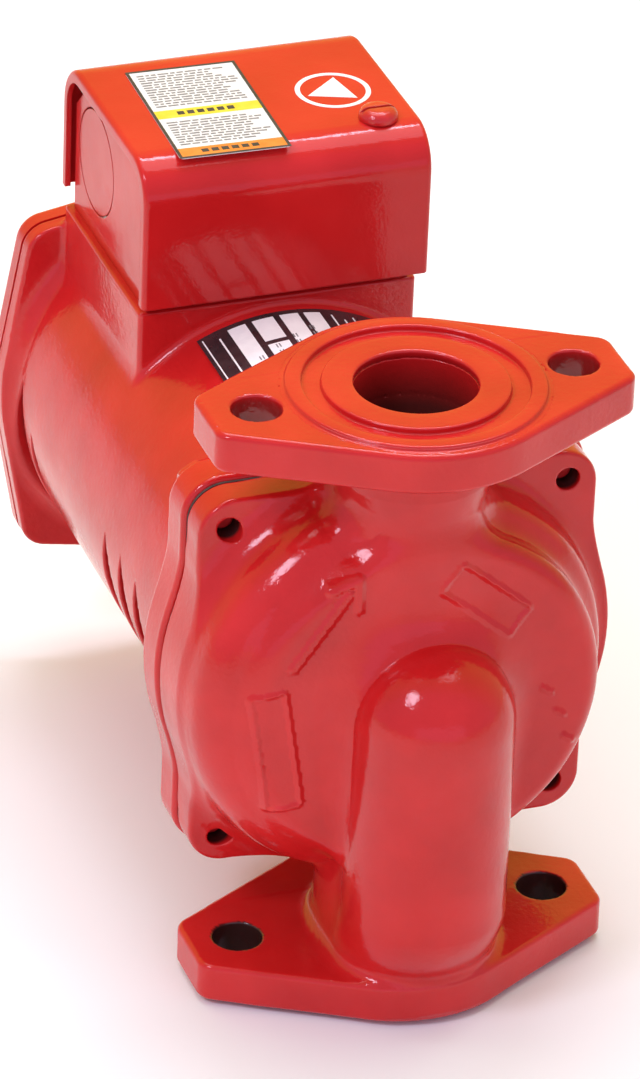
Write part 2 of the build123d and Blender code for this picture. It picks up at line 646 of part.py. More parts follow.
with BuildPart() as rear_cover:
    with BuildSketch(across(REAR_COVER_Y)) as end_plate:
        rear_outline()
    extrude(end_plate.sketch, amount=-REAR_COVER_T)
    fillet(rear_cover.faces().sort_by(Axis.Y)[-1].edges(), 3.0)
    disc(REAR_COVER_Y - 3, REAR_COVER_Y, MOTOR_R - MOTOR_WALL - 0.2)
    disc(REAR_BEARING_Y - 1, REAR_COVER_Y, BOSS_R)
    disc(REAR_BEARING_Y - 1, REAR_BEARING_Y + BEARING_W + 0.6, BEARING_OUTER_R, mode=Mode.SUBTRACT)
    disc(REAR_BEARING_Y, REAR_BEARING_Y + BEARING_W + 3, SHAFT_R + 2, mode=Mode.SUBTRACT)
    holes_along_shaft(REAR_COVER_Y, REAR_COVER_Y + REAR_COVER_T, REAR_SCREW_R + 0.3,
                      four_corners(REAR_EAR))
save(rear_cover, "rear_cover")

with BuildPart() as rear_cover_screws:
    head_y = REAR_COVER_Y + REAR_COVER_T
    rear_places = four_corners(REAR_EAR)
    hex_head(head_y, head_y + REAR_SCREW_HEAD_H, REAR_SCREW_HEX, rear_places)
    with BuildSketch(across(REAR_SCREW_TIP_Y)) as rear_shanks:
        with Locations(*rear_places):
            Circle(REAR_SCREW_R - 0.1)
    extrude(rear_shanks.sketch, amount=REAR_SCREW_TIP_Y - head_y)
save(rear_cover_screws, "rear_cover_screws")

with BuildPart() as nameplate:
    with BuildSketch(across(NAMEPLATE_FRONT_Y)) as band:
        Circle(MOTOR_R + 0.5)
        Circle(MOTOR_R + 0.03, mode=Mode.SUBTRACT)
        with BuildLine():
            far = 70.0
            left = (far * cos(radians(NAMEPLATE_LEFT)), far * sin(radians(NAMEPLATE_LEFT)))
            right = (far * cos(radians(NAMEPLATE_RIGHT)), far * sin(radians(NAMEPLATE_RIGHT)))
            Polyline((0, 0), left, (0, far * 1.6), right, close=True)
        make_face(mode=Mode.INTERSECT)
    extrude(band.sketch, amount=NAMEPLATE_FRONT_Y - NAMEPLATE_BACK_Y)
save(nameplate, "nameplate")

# ---------------------------------------------------------------- conduit box

with BuildPart() as conduit_box:
    block((-BOX_HALF_X, BOX_FRONT_Y, PEDESTAL_TOP_Z), (BOX_HALF_X, BOX_BACK_Y, BOX_FLOOR_Z))
    for side in (-1, 1):
        inner_x = side * (BOX_HALF_X - SHEET_T)
        outer_x = side * BOX_HALF_X
        with BuildSketch(Plane.YZ.offset(min(inner_x, outer_x))) as panel:
            with BuildLine():
                Polyline((BOX_FRONT_Y, PEDESTAL_TOP_Z), (BOX_BACK_Y, PEDESTAL_TOP_Z),
                         (BOX_BACK_Y, BOX_TOP_Z - BOX_CORNER), (BOX_BACK_Y - BOX_CORNER, BOX_TOP_Z),
                         (BOX_FRONT_Y + BOX_CORNER, BOX_TOP_Z), (BOX_FRONT_Y, BOX_TOP_Z - BOX_CORNER),
                         close=True)
            make_face()
            with Locations((KNOCKOUT_Y, KNOCKOUT_Z)):
                Circle(KNOCKOUT_R, mode=Mode.SUBTRACT)
        extrude(panel.sketch, amount=SHEET_T)
    post(BOX_FLOOR_Z, POST_TOP_Z, POST_R, COVER_SCREW_X, COVER_SCREW_Y)
    post(POST_TOP_Z - POST_THREAD, POST_TOP_Z, COVER_SCREW_R + 0.08, COVER_SCREW_X, COVER_SCREW_Y,
         mode=Mode.SUBTRACT)
    post(PEDESTAL_TOP_Z, BOX_FLOOR_Z, LEAD_HOLE_R, LEAD_HOLE_X, LEAD_HOLE_Y, mode=Mode.SUBTRACT)
    post(PEDESTAL_TOP_Z, BOX_FLOOR_Z, BOX_SCREW_R, GROUND_X, GROUND_Y, mode=Mode.SUBTRACT)
    for screw_x in BOX_SCREWS_X:
        post(PEDESTAL_TOP_Z, BOX_FLOOR_Z, BOX_SCREW_R + 0.2, screw_x, BOX_SCREW_Y, mode=Mode.SUBTRACT)
save(conduit_box, "conduit_box")

with BuildPart() as box_screws:
    for screw_x in BOX_SCREWS_X:
        post(PEDESTAL_TOP_Z - 7, BOX_FLOOR_Z, BOX_SCREW_R - 0.1, screw_x, BOX_SCREW_Y)
        post(BOX_FLOOR_Z, BOX_FLOOR_Z + 2, 2 * BOX_SCREW_R, screw_x, BOX_SCREW_Y)
save(box_screws, "box_screws")


def knockout(outer_x, name):
    """Round knockout disc, held flush in its panel."""
    with BuildPart() as slug:
        with BuildSketch(Plane.YZ.offset(outer_x)) as round_blank:
            with Locations((KNOCKOUT_Y, KNOCKOUT_Z)):
                Circle(KNOCKOUT_R - KNOCKOUT_GAP)
        extrude(round_blank.sketch, amount=SHEET_T)
        with BuildSketch(Plane.YZ.offset(outer_x)) as tie:
            with Locations((KNOCKOUT_Y, KNOCKOUT_Z + KNOCKOUT_R - 0.35)):
                Rectangle(1.5, 0.6)
        extrude(tie.sketch, amount=SHEET_T)
    save(slug, name)


knockout(-BOX_HALF_X, "left_knockout")
knockout(BOX_HALF_X - SHEET_T, "right_knockout")


def cover_profile(inset, front_bottom, back_bottom):
    """Side view of the cover: front flap, front bend, top, back bend, back flap."""
    front = COVER_FRONT_Y + inset
    back = COVER_BACK_Y - inset
    top = COVER_TOP_Z - inset
    front_r = COVER_FRONT_BEND_R - inset
    back_r = COVER_BACK_BEND_R - inset
    with BuildLine() as side_view:
        flap = Line((front, front_bottom), (front, top - front_r))
        bend = RadiusArc(flap @ 1, (front + front_r, top), front_r)
        roof = Line(bend @ 1, (back - back_r, top))
        rear = RadiusArc(roof @ 1, (back, top - back_r), back_r)
        Line(rear @ 1, (back, back_bottom))
        Line((back, back_bottom), (front, front_bottom))
    make_face(side_view.edges())


with BuildPart() as conduit_cover:
    with BuildSketch(Plane.YZ.offset(COVER_LEFT_X)) as outside:
        cover_profile(0, COVER_FRONT_BOTTOM_Z, COVER_BACK_BOTTOM_Z)
    extrude(outside.sketch, amount=COVER_RIGHT_X - COVER_LEFT_X)
    ends = conduit_cover.faces().filter_by(Axis.X)
    fillet(ends.edges().filter_by(lambda e: e.center().Z > COVER_BACK_BOTTOM_Z + 2), COVER_EDGE_R)
    with BuildSketch(Plane.YZ.offset(COVER_LEFT_X + SHEET_T)) as hollow:
        cover_profile(SHEET_T, COVER_FRONT_BOTTOM_Z - 5, COVER_FRONT_BOTTOM_Z - 5)
    extrude(hollow.sketch, amount=COVER_RIGHT_X - COVER_LEFT_X - 2 * SHEET_T, mode=Mode.SUBTRACT)
    with BuildSketch(Plane.YZ.offset(COVER_LEFT_X - 1)) as ends_open:
        cover_profile(COVER_LIP, COVER_FRONT_BOTTOM_Z - 5, COVER_FRONT_BOTTOM_Z - 5)
    extrude(ends_open.sketch, amount=COVER_RIGHT_X - COVER_LEFT_X + 2, mode=Mode.SUBTRACT)
    post(COVER_TOP_Z - 4, COVER_TOP_Z, COVER_SCREW_R + 0.3, COVER_SCREW_X, COVER_SCREW_Y,
         mode=Mode.SUBTRACT)
save(conduit_cover, "conduit_cover")

with BuildPart() as cover_screw:
    post(COVER_SCREW_TIP_Z, COVER_TOP_Z, COVER_SCREW_R, COVER_SCREW_X, COVER_SCREW_Y)
    post(COVER_TOP_Z, COVER_TOP_Z + SCREW_HEAD_H, SCREW_HEAD_R, COVER_SCREW_X, COVER_SCREW_Y)
    fillet(cover_screw.edges().sort_by(Axis.Z)[-1], SCREW_HEAD_H - 0.5)
    block((COVER_SCREW_X - SCREW_HEAD_R, COVER_SCREW_Y - 0.5, COVER_TOP_Z + SCREW_HEAD_H - 1.2),
          (COVER_SCREW_X + SCREW_HEAD_R, COVER_SCREW_Y + 0.5, COVER_TOP_Z + SCREW_HEAD_H + 1),
          mode=Mode.SUBTRACT)
save(cover_screw, "cover_screw")

with BuildPart() as cover_label:
    with BuildSketch(Plane(origin=(LABEL_X, LABEL_Y, COVER_TOP_Z),
                           x_dir=(cos(radians(LABEL_TURN)), sin(radians(LABEL_TURN)), 0))) as sticker:
        RectangleRounded(LABEL_W, LABEL_L, 1.0)
    extrude(sticker.sketch, amount=LABEL_T)
save(cover_label, "cover_label")

# ---------------------------------------------------------------- wiring inside the box

with BuildPart() as capacitor:
    with BuildSketch(Plane.YZ.offset(CAPACITOR_LEFT_X)) as can:
        with Locations((CAPACITOR_Y, CAPACITOR_Z)):
            Circle(CAPACITOR_R)
    extrude(can.sketch, amount=CAPACITOR_LENGTH)
    fillet(capacitor.edges().filter_by(GeomType.CIRCLE), 1.5)
    for tab_y in (CAPACITOR_Y - 4, CAPACITOR_Y + 4):
        block((CAPACITOR_RIGHT_X, tab_y - 0.4, CAPACITOR_Z - 3.2),
              (CAPACITOR_RIGHT_X + 6, tab_y + 0.4, CAPACITOR_Z + 3.2))
save(capacitor, "capacitor")

with BuildPart() as capacitor_strap:
    with BuildSketch(Plane.YZ.offset(STRAP_X)) as strap:
        with Locations((CAPACITOR_Y, CAPACITOR_Z)):
            Circle(CAPACITOR_R + STRAP_T)
        with Locations((CAPACITOR_Y, CAPACITOR_Z - CAPACITOR_R)):
            Rectangle(4 * CAPACITOR_R, 2 * CAPACITOR_R, mode=Mode.SUBTRACT)
        with Locations((CAPACITOR_Y, BOX_FLOOR_Z + CAPACITOR_R / 2)):
            with GridLocations(2 * CAPACITOR_R + STRAP_T, 0, 2, 1):
                Rectangle(STRAP_T, CAPACITOR_R)
        with Locations((CAPACITOR_Y, BOX_FLOOR_Z + STRAP_T / 2)):
            with GridLocations(2 * CAPACITOR_R + 2 * STRAP_T, 0, 2, 1):
                Rectangle(2 * STRAP_T, STRAP_T)
        with Locations((CAPACITOR_Y, CAPACITOR_Z)):
            Circle(CAPACITOR_R, mode=Mode.SUBTRACT)
    extrude(strap.sketch, amount=STRAP_W)
save(capacitor_strap, "capacitor_strap")

with BuildPart() as terminal_block:
    block((TERMINAL_X, TERMINAL_Y, BOX_FLOOR_Z),
          (TERMINAL_X + TERMINAL_L, TERMINAL_Y + TERMINAL_W, BOX_FLOOR_Z + TERMINAL_H))
    for way in range(TERMINAL_WAYS):
        way_x = TERMINAL_X + TERMINAL_L * (way + 0.5) / TERMINAL_WAYS
        post(BOX_FLOOR_Z + TERMINAL_H - 4, BOX_FLOOR_Z + TERMINAL_H, 2.6, way_x,
             TERMINAL_Y + TERMINAL_W / 2, mode=Mode.SUBTRACT)
save(terminal_block, "terminal_block")

with BuildPart() as terminal_screws:
    for way in range(TERMINAL_WAYS):
        way_x = TERMINAL_X + TERMINAL_L * (way + 0.5) / TERMINAL_WAYS
        post(BOX_FLOOR_Z + TERMINAL_H - 4, BOX_FLOOR_Z + TERMINAL_H - 1, 2.4, way_x,
             TERMINAL_Y + TERMINAL_W / 2)
save(terminal_screws, "terminal_screws")

with BuildPart() as ground_screw:
    post(PEDESTAL_TOP_Z, BOX_FLOOR_Z, BOX_SCREW_R - 0.05, GROUND_X, GROUND_Y)
    post(BOX_FLOOR_Z, BOX_FLOOR_Z + 2.4, 2 * BOX_SCREW_R, GROUND_X, GROUND_Y)
save(ground_screw, "ground_screw")

with BuildPart() as lead_bushing:
    post(PEDESTAL_TOP_Z - 1, BOX_FLOOR_Z + 1, LEAD_HOLE_R, LEAD_HOLE_X, LEAD_HOLE_Y)
    post(BOX_FLOOR_Z, BOX_FLOOR_Z + 1.2, LEAD_HOLE_R + 1.5, LEAD_HOLE_X, LEAD_HOLE_Y)
    post(PEDESTAL_TOP_Z - 2, BOX_FLOOR_Z + 2, LEAD_HOLE_R - 1.4, LEAD_HOLE_X, LEAD_HOLE_Y,
         mode=Mode.SUBTRACT)
save(lead_bushing, "lead_bushing")

with BuildPart() as motor_leads:
    for lead_shift in (-2.8, 0.0, 2.8):
        lead_y = LEAD_HOLE_Y + lead_shift
        with BuildLine() as route:
            FilletPolyline((LEAD_HOLE_X, lead_y, LEAD_FOOT_Z), (LEAD_HOLE_X, lead_y, LEAD_TOP_Z),
                           (TERMINAL_X, lead_y, LEAD_TOP_Z), radius=LEAD_BEND_R)
        with BuildSketch(Plane(origin=(LEAD_HOLE_X, lead_y, LEAD_FOOT_Z), z_dir=(0, 0, 1))) as lead:
            Circle(LEAD_R)
        sweep(lead.sketch, path=route.line)
save(motor_leads, "motor_leads")
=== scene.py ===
import itertools
import json
import math
import bmesh
import bpy
import numpy as np
import openvdb
from mathutils import Matrix, Vector


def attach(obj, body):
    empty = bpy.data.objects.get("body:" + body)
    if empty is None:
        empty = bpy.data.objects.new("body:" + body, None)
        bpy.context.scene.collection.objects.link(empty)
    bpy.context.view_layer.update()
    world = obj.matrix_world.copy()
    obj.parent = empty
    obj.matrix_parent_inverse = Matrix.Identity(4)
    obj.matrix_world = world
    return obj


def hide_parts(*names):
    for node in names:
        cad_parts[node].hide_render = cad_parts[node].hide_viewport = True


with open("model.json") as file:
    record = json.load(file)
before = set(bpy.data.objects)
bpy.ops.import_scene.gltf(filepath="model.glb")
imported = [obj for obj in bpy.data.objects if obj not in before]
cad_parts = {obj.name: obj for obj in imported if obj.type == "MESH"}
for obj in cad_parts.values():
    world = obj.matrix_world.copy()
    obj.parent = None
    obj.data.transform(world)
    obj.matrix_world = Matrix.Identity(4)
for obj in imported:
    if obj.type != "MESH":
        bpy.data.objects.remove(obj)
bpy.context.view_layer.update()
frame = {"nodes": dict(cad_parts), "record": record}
NODES = frame["nodes"]
MM = 0.001

# Measures are in millimetres in the CAD's frame. Only the camera, the lights, the floor and the
# materials use metres.
SHAFT_Z = 80.95  # shaft above the suction face
FACE = 161.9  # discharge face above the suction face
PORT_R = 15.0  # both pipe ports
FLANGE_BOLT = 40.1  # pipe line to each flange bolt
FLANGE_BOLT_R = 6.0
EAR = 43.4  # shaft to each body screw, along X and along Z
REAR_EAR = 39.6  # shaft to each rear cover screw, along X and along Z
BARREL_R = 50.2
PLATE_R = 50.68  # outer face of the nameplate
ELBOW_R = 20.2
ELBOW_Y = -21.7  # axis of the suction elbow's upright part
COVER_TOP = 175.0
LABEL_TOP = 175.18
FINE = 0.62  # grid step of the castings


# ------------------------------------------------------------------ camera
PHOTO_HEIGHT = 1079  # pixels
FOCAL_LENGTH = 7313.6 * 0.967  # pixels
VIEW_ANGLES = (-20.711, 30.615, 2.422)  # azimuth, elevation and roll, in degrees
CAMERA_PLACE = (-0.5370, -1.3602, 0.9825)


def make_camera():
    az, el, roll = (math.radians(a) for a in VIEW_ANGLES)
    back = Vector((math.sin(az) * math.cos(el), -math.cos(az) * math.cos(el), math.sin(el)))
    right = Vector((math.cos(az), math.sin(az), 0))
    up = back.cross(right)
    right_r = right * math.cos(roll) + up * math.sin(roll)
    up_r = up * math.cos(roll) - right * math.sin(roll)
    data = bpy.data.cameras.new("camera")
    data.sensor_width = 36
    data.lens = FOCAL_LENGTH / PHOTO_HEIGHT * data.sensor_width
    data.clip_start, data.clip_end = 0.05, 20
    cam = bpy.data.objects.new("camera", data)
    bpy.context.scene.collection.objects.link(cam)
    rows = Matrix((right_r, up_r, back)).transposed()
    cam.matrix_world = Matrix.Translation(Vector(CAMERA_PLACE)) @ rows.to_4x4()
    bpy.context.scene.camera = cam


make_camera()


# ------------------------------------------------------------------ materials
NOISE_LOW, NOISE_HIGH = 0.3, 0.7  # where nearly all of a noise texture's values lie


def node(tree, kind, **inputs):
    made = tree.nodes.new(kind)
    for key, value in inputs.items():
        made.inputs[key.replace("_", " ")].default_value = value
    return made


def noise(tree, coord, scale, detail=3.0, rough=0.5):
    made = node(tree, "ShaderNodeTexNoise", Scale=scale, Detail=detail, Roughness=rough)
    tree.links.new(coord, made.inputs["Vector"])
    return made.outputs["Fac"]


def ramp(tree, fac, stops):
    made = tree.nodes.new("ShaderNodeValToRGB")
    bar = made.color_ramp
    while len(bar.elements) < len(stops):
        bar.elements.new(0.5)
    for element, (place, colour) in zip(bar.elements, stops):
        element.position = place
        element.color = (*colour, 1)
    tree.links.new(fac, made.inputs["Fac"])
    return made.outputs["Color"]


def span(tree, fac, low, high):
    """Noise spread over low to high."""
    made = tree.nodes.new("ShaderNodeMapRange")
    made.inputs["From Min"].default_value = NOISE_LOW
    made.inputs["From Max"].default_value = NOISE_HIGH
    made.inputs["To Min"].default_value = low
    made.inputs["To Max"].default_value = high
    tree.links.new(fac, made.inputs["Value"])
    return made.outputs["Result"]


def surface(name, colours, rough, scale, bumps=(), metallic=0.0, coat=0.0, coat_rough=0.08,
            specular=0.5, edge=0.0, stretch=(1, 1, 1), painted_shade=None):
    """Procedural finish: colour and roughness vary by noise, and bumps are (scale, height, detail).

    The last argument is a painted shade: a dark colour mixed in where the mesh attribute of the
    same name is 1, in holes, bores and inside the motor.
    """
    made = bpy.data.materials.new(name)
    made.use_nodes = True
    tree = made.node_tree
    shader = tree.nodes["Principled BSDF"]
    coord = tree.nodes.new("ShaderNodeTexCoord")
    mapping = tree.nodes.new("ShaderNodeMapping")
    mapping.inputs["Scale"].default_value = stretch
    tree.links.new(coord.outputs["Object"], mapping.inputs["Vector"])
    place = mapping.outputs["Vector"]
    fac = noise(tree, place, scale)
    reach = NOISE_HIGH - NOISE_LOW
    steps = [(NOISE_LOW + reach * i / (len(colours) - 1), c) for i, c in enumerate(colours)]
    colour = ramp(tree, fac, steps)
    # Painted shade: the dark colour darkens holes, bores and the motor's inside, by a mesh
    # attribute.
    if painted_shade:
        mix = tree.nodes.new("ShaderNodeMixRGB")
        mix.inputs["Color2"].default_value = (*painted_shade, 1)
        mask = tree.nodes.new("ShaderNodeAttribute")
        mask.attribute_name = "painted_shade"
        tree.links.new(mask.outputs["Fac"], mix.inputs["Fac"])
        tree.links.new(colour, mix.inputs["Color1"])
        colour = mix.outputs["Color"]
    tree.links.new(colour, shader.inputs["Base Color"])
    rough_fac = noise(tree, place, scale * 2.3, 4.0)
    tree.links.new(span(tree, rough_fac, *rough), shader.inputs["Roughness"])
    shader.inputs["Metallic"].default_value = metallic
    shader.inputs["Specular IOR Level"].default_value = specular
    shader.inputs["Coat Weight"].default_value = coat
    shader.inputs["Coat Roughness"].default_value = coat_rough
    normal = None
    if edge:
        bevel = node(tree, "ShaderNodeBevel", Radius=edge)
        bevel.samples = 4
        normal = bevel.outputs["Normal"]
    for bump_scale, height, detail in bumps:
        bump = node(tree, "ShaderNodeBump", Distance=height, Strength=1.0)
        tree.links.new(noise(tree, place, bump_scale, detail), bump.inputs["Height"])
        if normal:
            tree.links.new(normal, bump.inputs["Normal"])
        normal = bump.outputs["Normal"]
    if normal:
        tree.links.new(normal, shader.inputs["Normal"])
        if coat:
            tree.links.new(normal, shader.inputs["Coat Normal"])
    return made


# Enamel tones, from the shaded patches of the noise to the light ones
REDS = [(0.50, 0.010, 0.011), (0.56, 0.013, 0.014), (0.62, 0.018, 0.019)]
MATERIALS = {
    # The castings' last colour is a near-black painted shade for holes, bores and the motor's
    # inside.
    "red_casting": surface("red_casting", REDS, (0.38, 0.5), 45,
                           [(700, 0.00008, 2.0), (2600, 0.000015, 1.0)], coat=0.8, coat_rough=0.07,
                           specular=0.05, painted_shade=(0.045, 0.016, 0.013)),
    "red_sheet": surface("red_sheet", REDS, (0.34, 0.46), 30,
                         [(1300, 0.00003, 2.0), (220, 0.00006, 1.0)], coat=0.65, coat_rough=0.06,
                         specular=0.05, edge=0.0005),
    "painted_screw": surface("painted_screw", REDS, (0.34, 0.5), 200,
                             [(1400, 0.0001, 2.0)], coat=1.0, specular=0.1, edge=0.0006),
    "gasket_fibre": surface("gasket_fibre", [(0.03, 0.02, 0.018), (0.07, 0.05, 0.045)], (0.7, 0.9),
                            400, [(2500, 0.0001, 3.0)]),
    "zinc_screw": surface("zinc_screw", [(0.55, 0.55, 0.53), (0.7, 0.7, 0.66)], (0.25, 0.4), 300,
                          [(2500, 0.00003, 2.0)], metallic=1.0, edge=0.0003),
    "stainless_steel": surface("stainless_steel", [(0.52, 0.51, 0.49), (0.64, 0.63, 0.61)],
                               (0.18, 0.32), 300, [(1800, 0.00002, 2.0)], metallic=1.0,
                               stretch=(1, 12, 1)),
    "bearing_steel": surface("bearing_steel", [(0.5, 0.5, 0.5), (0.62, 0.62, 0.62)], (0.08, 0.2),
                             300, [(1600, 0.00001, 2.0)], metallic=1.0, edge=0.0004),
    "impeller_plastic": surface("impeller_plastic", [(0.10, 0.10, 0.10), (0.16, 0.15, 0.14)],
                                (0.35, 0.5), 120, [(1500, 0.00004, 2.0)], edge=0.0004),
    "seal_carbon": surface("seal_carbon", [(0.02, 0.02, 0.022), (0.05, 0.05, 0.052)], (0.3, 0.45),
                           300, [(2500, 0.00003, 2.0)]),
    "seal_ceramic": surface("seal_ceramic", [(0.75, 0.73, 0.68), (0.85, 0.83, 0.8)], (0.2, 0.3),
                            300, [(2500, 0.00002, 2.0)]),
    "black_rubber": surface("black_rubber", [(0.012, 0.012, 0.012), (0.03, 0.03, 0.03)], (0.6, 0.8),
                            300, [(2000, 0.00005, 2.0)]),
    "lamination_steel": surface("lamination_steel", [(0.2, 0.19, 0.18), (0.34, 0.33, 0.31)],
                                (0.4, 0.6), 200, [(900, 0.0001, 2.0)], metallic=0.9,
                                stretch=(1, 14, 1)),
    "cast_aluminium": surface("cast_aluminium", [(0.5, 0.5, 0.5), (0.64, 0.64, 0.64)], (0.4, 0.55),
                              200, [(1200, 0.0001, 3.0)], metallic=1.0, edge=0.0004),
    "magnet_wire": surface("magnet_wire", [(0.32, 0.08, 0.02), (0.5, 0.16, 0.05)], (0.25, 0.4), 250,
                           [(1100, 0.0003, 2.0)], metallic=0.6, stretch=(1, 0.2, 1)),
    "capacitor_can": surface("capacitor_can", [(0.62, 0.62, 0.6), (0.74, 0.74, 0.72)], (0.25, 0.35),
                             150, [(900, 0.00003, 2.0)], metallic=1.0, edge=0.0004),
    "terminal_plastic": surface("terminal_plastic", [(0.03, 0.03, 0.03), (0.06, 0.06, 0.06)],
                                (0.35, 0.5), 200, [(1500, 0.00004, 2.0)], edge=0.0004),
    "ground_green": surface("ground_green", [(0.02, 0.22, 0.06), (0.03, 0.32, 0.1)], (0.3, 0.45),
                            200, [(1500, 0.00004, 2.0)], edge=0.0003),
    "lead_wire": surface("lead_wire", [(0.03, 0.03, 0.035), (0.08, 0.08, 0.09)], (0.35, 0.5), 300,
                         [(1500, 0.00004, 2.0)]),
    "nameplate": surface("nameplate", [(0.016, 0.013, 0.016), (0.035, 0.028, 0.032)], (0.25, 0.4),
                         300, [(2200, 0.00003, 2.0)], coat=0.3),
    "printed_label": surface("printed_label", [(0.76, 0.78, 0.80), (0.86, 0.87, 0.88)], (0.3, 0.45),
                             200, [(1500, 0.00003, 2.0)], coat=0.2),
}
INK = {
    "ink_dark": surface("ink_dark", [(0.02, 0.018, 0.022), (0.05, 0.04, 0.05)], (0.35, 0.5), 500),
    "ink_grey": surface("ink_grey", [(0.16, 0.16, 0.17), (0.30, 0.30, 0.31)], (0.4, 0.55), 900),
    "ink_yellow": surface("ink_yellow", [(0.80, 0.60, 0.03), (0.88, 0.70, 0.06)], (0.35, 0.5), 300),
    "ink_orange": surface("ink_orange", [(0.80, 0.20, 0.02), (0.86, 0.27, 0.04)], (0.35, 0.5), 300),
    "ink_white": surface("ink_white", [(0.82, 0.82, 0.84), (0.90, 0.90, 0.91)], (0.35, 0.5), 300),
}


def finish_nodes():
    """Each CAD node takes the finish of its record slot."""
    for row in frame["record"]["subparts"]:
        data = NODES[row["node"]].data
        data.materials.clear()
        data.materials.append(MATERIALS[row["material_slot"]])
        data.polygons.foreach_set("material_index", [0] * len(data.polygons))


finish_nodes()


def dress(obj, material, body, slot, *replaced):
    """Give a piece its finish and its body, and hide the CAD nodes it replaces; the slot argument
    is not used.
    """
    obj.data.materials.append(material)
    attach(obj, body)
    if replaced:
        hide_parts(*replaced)
    return obj


def mesh_object(name, points, faces, smooth=True):
    data = bpy.data.meshes.new(name)
    data.from_pydata([tuple(p) for p in points], [], faces)
    data.update()
    if smooth:
        data.shade_smooth()
    obj = bpy.data.objects.new(name, data)
    bpy.context.scene.collection.objects.link(obj)
    return obj


# ------------------------------------------------------------------ rounded solids
def join(a, b, r):
    """Union of two solids with a concave fillet of radius r."""
    return np.maximum(r, np.minimum(a, b)) - np.hypot(np.maximum(r - a, 0), np.maximum(r - b, 0))


def meet(a, b, r):
    """Intersection of two solids with a rounded edge of radius r."""
    return np.minimum(-r, np.maximum(a, b)) + np.hypot(np.maximum(r + a, 0), np.maximum(r + b, 0))


def cut(a, b, r=0.5):
    """Solid a without solid b, its new edges rounded to r."""
    return meet(a, -b, r)


def prism(outline, low, high, along, r):
    """Outline carried from low to high along one axis, its rims rounded to r."""
    a = outline + r
    b = np.abs(along - (low + high) / 2) - (high - low) / 2 + r
    return np.minimum(np.maximum(a, b), 0) + np.hypot(np.maximum(a, 0), np.maximum(b, 0)) - r


def box2(u, v, half_u, half_v, r):
    """Outline of a rectangle with corners rounded to r."""
    a = np.abs(u) - half_u + r
    b = np.abs(v) - half_v + r
    return np.minimum(np.maximum(a, b), 0) + np.hypot(np.maximum(a, 0), np.maximum(b, 0)) - r


def drop(u, v, du, dv, big, small):
    """Outline of a big circle at the centre drawn out to a small circle at (du, dv)."""
    length = math.hypot(du, dv)
    cu, cv = du / length, dv / length
    along = u * cu + v * cv
    off = np.abs(v * cu - u * cv)
    b = (big - small) / length
    a = math.sqrt(1 - b * b)
    k = along * a - off * b
    side = off * a + along * b - big
    near = np.hypot(off, along) - big
    far = np.hypot(off, along - length) - small
    return np.where(k < 0, near, np.where(k > a * length, far, side))


def four_way(u, v, du, dv, big, small):
    """Hull of a circle with four small circles at (+-du, +-dv)."""
    tips = np.maximum(np.abs(u) - du - small, np.abs(v) - dv)
    return np.minimum(drop(np.abs(u), np.abs(v), du, dv, big, small), tips)


def casing_shape(x, h, inset):
    """Outline of the casing joint: a circle with four square ears for the body screws."""
    round_part = np.hypot(x, h) - (57.0 - inset)
    square_part = box2(x, h, 51.5 - inset, 51.5 - inset, 10.0 - inset)
    return join(round_part, square_part, 3.0)


def ear_holes(x, h, spread, radius):
    """Four round holes at (+-spread, +-spread) from the shaft."""
    return np.hypot(np.abs(x) - spread, np.abs(h) - spread) - radius


def lattice_noise(p, wavelength, seed):
    """Smooth value noise from -1 to 1 at the points p."""
    table = np.random.default_rng(seed).uniform(-1, 1, (32, 32, 32)).astype(np.float32)
    q = p / wavelength
    cell = np.floor(q).astype(np.int64)
    f = (q - cell).astype(np.float32)
    f = f * f * (3 - 2 * f)
    total = np.zeros(len(p), np.float32)
    for corner in itertools.product((0, 1), repeat=3):
        weight = np.ones(len(p), np.float32)
        for axis, step in enumerate(corner):
            weight *= f[:, axis] if step else 1 - f[:, axis]
        index = [(cell[:, axis] + step) % 32 for axis, step in enumerate(corner)]
        total += weight * table[tuple(index)]
    return total


def cast_wobble(p, seed):
    """Uneven skin of a sand casting, in millimetres."""
    return (0.09 * lattice_noise(p, 13.0, seed) + 0.02 * lattice_noise(p, 5.0, seed + 1)
            + 0.008 * lattice_noise(p, 2.0, seed + 2))


